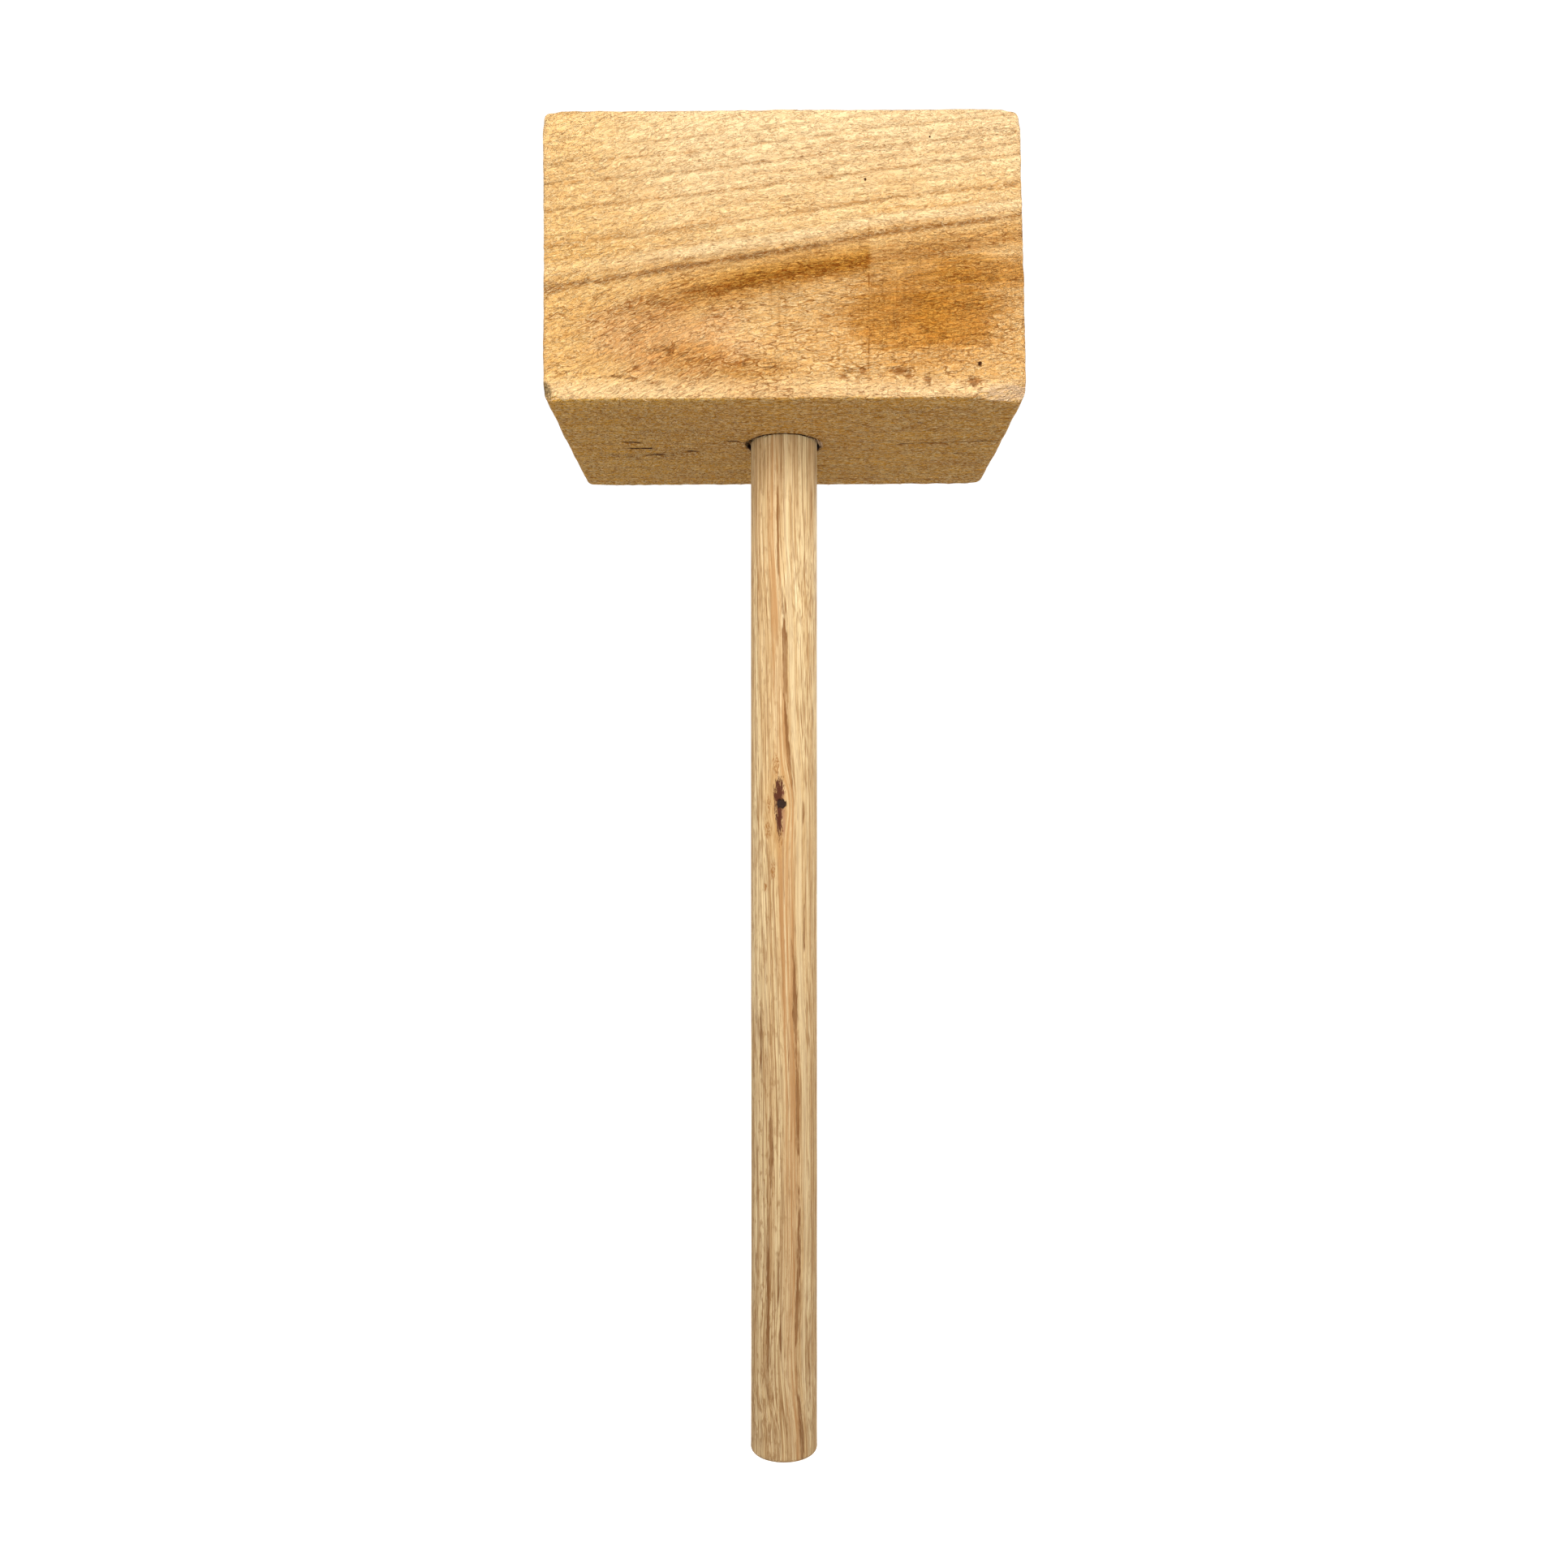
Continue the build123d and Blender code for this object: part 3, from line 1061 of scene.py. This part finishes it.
def handle_streaks(paint, place, grain, ragged):
    """Dark streaks: along the heart line, and single ones beside it and on the other sides."""
    along_heart = [
        # height, half length, half width
        (371, 24, 1.2),
        (330, 22, 0.8),
        (208, 26, 1.3),
        (160, 26, 1),
        (84, 38, 1),
        (12, 20, 1.2),
    ]
    beside = [
        # centre, radii
        ((-2.8, -15.5, 425), (0.8, 5, 26)),
        ((-10.6, -12, 190), (0.8, 5, 22)),
        ((-5.9, -14.5, 142), (1.2, 5, 24)),
        ((-7.4, -14, 70), (1, 5, 46)),
        ((-2.6, -15.5, 82), (0.6, 5, 15)),
        ((-1.6, -15.5, 58), (0.7, 5, 13)),
        ((8.8, -13.5, 296), (0.6, 5, 7)),
        ((9.2, -13.5, 245), (0.6, 5, 16)),
        ((-8, 13, 250), (1.6, 6, 34)),
        ((6, 14, 380), (1.2, 6, 26)),
        ((14.5, 4, 150), (5, 1.4, 30)),
        ((-15, 2, 340), (5, 1.1, 24)),
    ]
    dark = 0
    for height, half_length, half_width in along_heart:
        radii = (1.1 * half_width, 9, 1.3 * half_length)
        dark = paint.math("MAXIMUM", dark, grain.blob((0, -15.5, height), radii, ragged, 1.1))
    for centre, radii in beside:
        dark = paint.math("MAXIMUM", dark, place.blob(centre, radii, ragged, 0.9))
    return dark


def knot_colours(paint, place, ragged):
    """The knot, its halo, the feathered dark wood above and below it, and the scrapes round it."""
    halo = place.blob(KNOT + (-2, 0, -2), (8, 8, 30), ragged, 0.7)
    paint.tint(halo * 0.45, 196, 154, 96)
    scrapes = 0
    for offset, radii in [
        ((-2.3, 0, 18), (2.2, 5, 6)),
        ((-6, 1, -12), (2.2, 5, 4.5)),
        ((-3.8, 0, -30), (1.4, 5, 5.5)),
        ((-7, 1, -38), (1.3, 5, 3)),
        ((-5.6, 1, 0), (1.2, 5, 6)),
        ((0.2, 0, -16), (0.9, 5, 7)),
    ]:
        scrapes = paint.math("MAXIMUM", scrapes, place.blob(KNOT + offset, radii, ragged, 1.1))
    scratched = place.noise((1, 1, 2.4), detail=2, distortion=1)
    scrapes = scrapes * scratched.ramp(0.42, 0.56, 0.1, 0.9)
    paint.tint(scrapes, 150, 100, 50)

    above = place.blob(KNOT + (-0.9, 0, 3.5), (3, 5, 11), ragged, 1.4)
    below = place.blob(KNOT + (-0.8, 0, -5.5), (1.9, 5, 13), ragged, 1.2)
    paint.tint(paint.math("MAXIMUM", above, below), 80, 36, 12)
    lines = place.noise((0.55, 5, 40), detail=2)
    beside = place.blob(KNOT + (1.2, 0, -4), (1.3, 5, 15), ragged, 0.4)
    beside = beside * lines.ramp(0.45, 0.6, 0.15, 0.8)
    paint.tint(beside, 140, 84, 66)

    # The core, with arcs of dark wood round it
    away = ragged * 3 + (place.vector("DISTANCE", KNOT + (0.2, 0, 0), "Value") - 1)
    arcs = paint.math("SINE", away * 6).ramp(-0.2, 0.5) * away.ramp(3.4, 2.6)
    paint.tint(arcs * 0.8, 86, 52, 26)
    core = away.ramp(2.9, 2.2)
    paint.tint(core * 0.95, 40, 20, 10)
    return core


def handle_material():
    """Planed wood with long stripes, a knot and a few dark streaks."""
    paint = Paint("handle_wood")
    place = paint.place()
    x, y, z = place.axes()
    grain = paint.field("grain", "Vector")
    side_z = paint.side()[2]
    on_end = abs(side_z).ramp(0.7, 0.9)

    broad = grain.noise((6, 6, 330), detail=2)
    stripes = grain.noise((2.4, 2.4, 150), detail=4, roughness=0.7)
    lines = grain.noise((1.3, 1.3, 150), roughness=0.6)
    hairlines = grain.noise((0.9, 0.9, 90), detail=1)
    cracks = grain.noise((0.6, 0.6, 16), detail=2, roughness=0.6)
    fibres = grain.noise((0.5, 0.5, 22), roughness=0.7)
    mottle = grain.noise((1.8, 1.8, 5.5), roughness=0.6)
    ragged = grain.noise((0.9, 0.9, 8), roughness=0.6)

    # Cream wood with brown stripes, finer lines and short dark cracks
    paint.colour = paint.mix(broad.ramp(0.4, 0.62), linear(214, 188, 142), linear(202, 170, 122))
    paint.tint(stripes.ramp(0.5, 0.64, 0, 0.5), 176, 134, 84)
    paint.tint(lines.ramp(0.52, 0.64, 0, 0.7), 160, 120, 74)
    paint.tint(lines.ramp(0.44, 0.32, 0, 0.55), 232, 210, 168)
    mottled = mottle.ramp(0.52, 0.66) * x.ramp(4, -9, 0.25, 0.5) * z.ramp(320, 120, 1, 1.5)
    paint.tint(mottled, 158, 120, 76)
    paint.tint(fibres.ramp(0.52, 0.64, 0, 0.4), 150, 110, 66)
    paint.tint(fibres.ramp(0.46, 0.34, 0, 0.4), 238, 216, 174)
    off_line = abs(hairlines - 0.5)
    paint.tint(off_line.ramp(0.07, 0.02, 0, 0.6), 140, 98, 54)
    paint.tint(cracks.ramp(0.62, 0.7, 0, 0.7), 124, 82, 42)

    # The brown wood left of the heart line, and the pale stripe beside it
    left_of_heart = grain.blob((-2.6, -15.5, UNDERSIDE / 2), (4.4, 12, 380), ragged, 0.3)
    left_of_heart = left_of_heart * lines.ramp(0.42, 0.56, 0.25, 0.8)
    paint.tint(left_of_heart, 178, 130, 80)
    pale = grain.blob((3.2, -14.5, UNDERSIDE / 2), (1.9, 8, 380), ragged, 0.35)
    paint.tint(pale * 0.4, 222, 200, 158)

    dark = handle_streaks(paint, place, grain, ragged)
    paint.tint(dark * fibres.ramp(0.58, 0.44, 0.55, 0.95), 124, 80, 38)
    frayed = place.noise((0.8, 0.8, 3.2), detail=4, roughness=0.75, distortion=0.6)
    core = knot_colours(paint, place, frayed)

    # The handle is painted darker towards the grip end, painted shade for the light falling off downwards,
    # and end grain is darker
    # Painted shade: a grey multiply that darkens the handle towards its bottom
    falloff_shade = paint.mix(z.ramp(400, 20), linear(246, 246, 244), linear(216, 212, 208))
    paint.lay(1, falloff_shade, "MULTIPLY")
    pores = grain.noise((0.6, 0.6, 9), detail=2, roughness=0.7)
    end_colour = paint.mix(pores.ramp(0.45, 0.3), linear(196, 160, 122), linear(110, 76, 48))
    paint.lay(on_end, paint.mix(0.6, paint.colour, end_colour))

    height = lines * 0.8 + fibres * 0.4 + mottle * 0.5 - core * 1.2 - dark * 0.3
    roughness = lines.ramp(0.3, 0.7, 0.62, 0.78)
    return paint.finish(roughness, height, depth_mm=0.5, shine=0.16)


def wedge_material():
    """Dark hardwood with straight, close grain."""
    paint = Paint("wedge_wood")
    place = paint.place()
    side_z = paint.side()[2]
    on_end = side_z.ramp(0.6, 0.9)
    lines = place.noise((0.5, 0.7, 30), detail=4, roughness=0.6)
    pores = place.noise((0.3, 0.3, 6), detail=2)
    bruises = place.noise((3, 3, 3))
    paint.colour = paint.mix(lines.ramp(0.35, 0.65), linear(176, 126, 80), linear(132, 86, 50))
    paint.tint(on_end * 0.5, 120, 80, 48)
    paint.tint(pores.ramp(0.42, 0.3, 0, 0.7), 66, 40, 22)
    paint.tint(bruises.ramp(0.55, 0.75, 0, 0.4), 196, 152, 104)
    height = pores * 0.5 + lines
    roughness = bruises.ramp(0.3, 0.7, 0.8, 0.6)
    return paint.finish(roughness, height, depth_mm=0.3, shine=0.2)


# ---------- Build the pieces ----------

head_wood = head_material()
handle_wood = handle_material()
wedge_wood = wedge_material()

mallet_head = make_head()
finish_piece(mallet_head, head_wood, "head_wood", "head")
finish_piece(make_face_fibres(mallet_head), head_wood, "head_wood")
finish_piece(make_socket_splinters(), head_wood, "head_wood")
finish_piece(make_handle(), handle_wood, "handle_wood", "handle")
finish_piece(make_wedge(), wedge_wood, "wedge_wood", "wedge")


# ---------- Studio ----------


def studio_surface(name, colour, glow):
    """A plain matte surface with a little light of its own, which keeps it pale."""
    material = bpy.data.materials.new(name)
    material.use_nodes = True
    shader = material.node_tree.nodes["Principled BSDF"]
    shader.inputs["Base Color"].default_value = (*colour, 1)
    shader.inputs["Roughness"].default_value = 1
    shader.inputs["Specular IOR Level"].default_value = 0
    shader.inputs["Emission Color"].default_value = (1, 1, 1, 1)
    shader.inputs["Emission Strength"].default_value = glow
    return material


def make_floor():
    """A wide pale floor. It shows to the camera but throws no light up at the head."""
    reach = 12
    mesh = bpy.data.meshes.new("floor")
    corners = [(-reach, -reach, 0), (reach, -reach, 0), (reach, reach, 0), (-reach, reach, 0)]
    mesh.from_pydata(corners, [], [(0, 1, 2, 3)])
    floor = bpy.data.objects.new("floor", mesh)
    bpy.context.scene.collection.objects.link(floor)
    mesh.materials.append(studio_surface("floor_paint", (0.9, 0.9, 0.9), glow=0.75))
    floor.visible_diffuse = False
    floor.visible_glossy = False


def make_world(seen, lit):
    """White where the camera sees it, and dimmer as a light on the object."""
    world = bpy.data.worlds.new("studio")
    bpy.context.scene.world = world
    world.use_nodes = True
    tree = world.node_tree
    tree.nodes.clear()
    ray = tree.nodes.new("ShaderNodeLightPath")
    strength = tree.nodes.new("ShaderNodeMapRange")
    strength.inputs["To Min"].default_value = lit
    strength.inputs["To Max"].default_value = seen
    background = tree.nodes.new("ShaderNodeBackground")
    background.inputs["Color"].default_value = (1, 1, 1, 1)
    output = tree.nodes.new("ShaderNodeOutputWorld")
    tree.links.new(ray.outputs["Is Camera Ray"], strength.inputs["Value"])
    tree.links.new(strength.outputs["Result"], background.inputs["Strength"])
    tree.links.new(background.outputs["Background"], output.inputs["Surface"])


def softbox(name, place, target, size, power):
    """A rectangular soft light at a place in metres, aimed at a target."""
    data = bpy.data.lights.new(name, "AREA")
    data.shape = "RECTANGLE"
    data.size, data.size_y = size
    data.energy = power
    light = bpy.data.objects.new(name, data)
    light.location = place
    light.rotation_euler = (Vector(target) - Vector(place)).to_track_quat("-Z", "Y").to_euler()
    bpy.context.scene.collection.objects.link(light)


def make_camera():
    """Level with the handle's middle and close in, as the photograph was taken."""
    data = bpy.data.cameras.new("camera")
    data.sensor_width = 36
    data.lens = 29.25
    data.shift_y = 0.0528
    data.clip_start, data.clip_end = 0.01, 100
    camera = bpy.data.objects.new("camera", data)
    camera.location = (0, -0.594, 0.2713)
    camera.rotation_euler = (math.radians(90), 0, 0)
    bpy.context.scene.collection.objects.link(camera)
    bpy.context.scene.camera = camera


make_floor()
make_world(seen=1.1, lit=0.62)
softbox("key", (0.12, -1.2, 0.92), (0, 0, 0.46), (0.8, 0.6), power=13)
softbox("low_fill", (0, -1, 0.24), (0, 0, 0.47), (0.9, 0.3), power=5.5)
softbox("back_fill", (0.5, 1.5, 1.1), (0, 0, 0.45), (1.2, 1), power=21)
softbox("left_fill", (-1.5, 0.1, 0.8), (0, 0, 0.45), (1, 1), power=10)
softbox("right_fill", (1.5, 0.1, 0.8), (0, 0, 0.45), (1, 1), power=10)
make_camera()
bpy.context.scene.view_settings.view_transform = "Standard"
